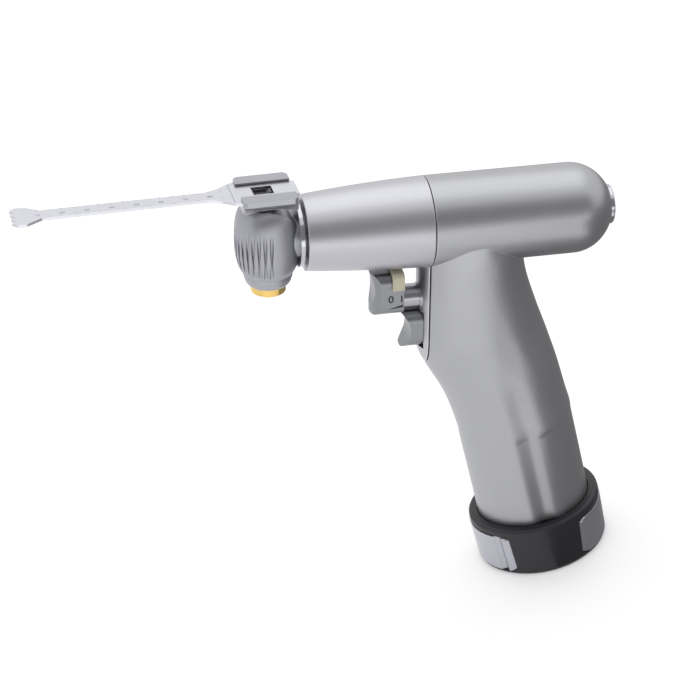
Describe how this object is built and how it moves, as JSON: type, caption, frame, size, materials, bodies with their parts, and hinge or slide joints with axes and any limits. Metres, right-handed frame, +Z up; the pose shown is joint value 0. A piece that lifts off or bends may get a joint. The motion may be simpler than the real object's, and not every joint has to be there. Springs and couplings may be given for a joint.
{
  "type": "surgical oscillating saw",
  "caption": "Cordless surgical oscillating saw with a pistol grip, two triggers, a swivelling head and a toothed blade.",
  "frame": {"origin": "middle of the flat foot of the battery lid", "axes": "+X back from the blade towards the rear cap, +Z up from the foot, +Y to the saw's right-hand side"},
  "size_m": [0.2423, 0.0526, 0.2367],
  "materials": {
    "housing_metal": "satin",
    "nose_metal": "bright satin",
    "head_metal": "satin",
    "blade_steel": "bright satin",
    "gold_coat": "satin",
    "ivory_plastic": "matt",
    "knob_metal": "satin",
    "polished_steel": "polished",
    "lid_plastic": "satin",
    "latch_metal": "satin",
    "black_rubber": "matt",
    "spring_steel": "satin",
    "bronze": "satin",
    "copper": "satin",
    "board_green": "satin",
    "gold_contact": "polished",
    "dark_plastic": "matt",
    "cell_wrap": "satin"
  },
  "bodies": {
    "handpiece": {"main_housing": "housing_metal", "front_cover": "nose_metal", "parting_seal": "black_rubber", "rear_cap": "nose_metal", "swivel_bush": "bronze", "motor_can": "copper", "motor_front_plate": "housing_metal", "motor_rear_plate": "housing_metal", "motor_screws": "polished_steel", "controller_board": "board_green", "contact_block": "dark_plastic", "contact_pins": "gold_contact", "trigger_bush": "polished_steel", "trigger_spring": "spring_steel", "lower_spring": "spring_steel"},
    "drive": {"rotor": "knob_metal", "motor_shaft": "polished_steel", "shaft_coupling": "housing_metal", "drive_shaft": "polished_steel", "eccentric": "polished_steel", "eccentric_roller": "polished_steel"},
    "head": {"head_housing": "head_metal", "head_bottom_ring": "head_metal", "swivel_ring": "nose_metal", "spigot_nut": "housing_metal", "drive_bearings": "polished_steel", "upper_bearing": "polished_steel", "lower_bearing": "polished_steel", "spindle_seal": "black_rubber", "button_spring": "spring_steel"},
    "blade_drive": {"output_spindle": "polished_steel", "fork": "polished_steel", "blade_clamp": "head_metal", "saw_blade": "blade_steel", "pawl_pin": "polished_steel"},
    "pawl": {"latch_pawl": "blade_steel"},
    "release": {"release_button": "gold_coat", "push_rod": "polished_steel"},
    "trigger": {"trigger_knob": "knob_metal", "trigger_stem": "polished_steel"},
    "safety": {"safety_slider": "ivory_plastic"},
    "lower_trigger": {"lower_trigger": "knob_metal", "lower_stem": "polished_steel"},
    "lid": {"battery_lid": "lid_plastic", "lid_seal": "black_rubber", "front_latch_pad": "black_rubber", "rear_latch_pad": "black_rubber"},
    "front_latch": {"front_latch": "latch_metal"},
    "rear_latch": {"rear_latch": "latch_metal"},
    "battery": {"battery_case": "dark_plastic", "battery_cells": "cell_wrap", "battery_contacts": "gold_contact"}
  },
  "joints": [
    {"name": "motor_spin", "type": "hinge", "parent": "handpiece", "child": "drive", "pos_m": [-0.04401, 0, 0.18318], "axis": [0.9738, 0, -0.2275], "continuous": true},
    {"name": "head_swivel", "type": "hinge", "parent": "handpiece", "child": "head", "pos_m": [-0.06349, 0, 0.18773], "axis": [0.9738, 0, -0.2275], "range_deg": [-180, 180]},
    {"name": "blade_swing", "type": "hinge", "parent": "head", "child": "blade_drive", "pos_m": [-0.08297, 0, 0.19228], "axis": [0.2275, 0, 0.9738], "range_deg": [-5, 1]},
    {"name": "release_press", "type": "slide", "parent": "head", "child": "release", "axis": [0.2275, 0, 0.9738], "range_m": [0, 0.0012], "stiffness_N_per_m": 2500, "springref_m": -0.0008, "deforming": ["button_spring"]},
    {"name": "pawl_tilt", "type": "hinge", "parent": "blade_drive", "child": "pawl", "pos_m": [-0.0799, -0.00004, 0.21067], "axis": [-0.034, 0.9994, 0.0079], "range_deg": [-1, 28]},
    {"name": "trigger_press", "type": "slide", "parent": "handpiece", "child": "trigger", "axis": [0.9738, 0, -0.2275], "range_m": [0, 0.005], "stiffness_N_per_m": 900, "springref_m": -0.002, "deforming": ["trigger_spring"]},
    {"name": "safety_slide", "type": "slide", "parent": "trigger", "child": "safety", "axis": [-0.9738, 0, 0.2275], "range_m": [0, 0.0044]},
    {"name": "lower_press", "type": "slide", "parent": "handpiece", "child": "lower_trigger", "axis": [0.9738, 0, -0.2275], "range_m": [0, 0.004], "stiffness_N_per_m": 900, "springref_m": -0.002, "deforming": ["lower_spring"]},
    {"name": "lid_slide", "type": "slide", "parent": "handpiece", "child": "lid", "axis": [0, 0, -1], "range_m": [0, 0.09]},
    {"name": "battery_slide", "type": "slide", "parent": "handpiece", "child": "battery", "axis": [0, 0, -1], "range_m": [0, 0.09]},
    {"name": "front_latch_press", "type": "slide", "parent": "lid", "child": "front_latch", "axis": [1, 0, 0], "range_m": [0, 0.0008], "stiffness_N_per_m": 6000, "springref_m": -0.0005, "deforming": ["front_latch_pad"]},
    {"name": "rear_latch_press", "type": "slide", "parent": "lid", "child": "rear_latch", "axis": [-1, 0, 0], "range_m": [0, 0.0008], "stiffness_N_per_m": 6000, "springref_m": -0.0005, "deforming": ["rear_latch_pad"]}
  ],
  "couplings": [
    {"joint": "pawl_tilt", "follows": "release_press", "rad_per_m": 392.7},
    {"joint": "battery_slide", "follows": "lid_slide", "ratio": 1}
  ]
}
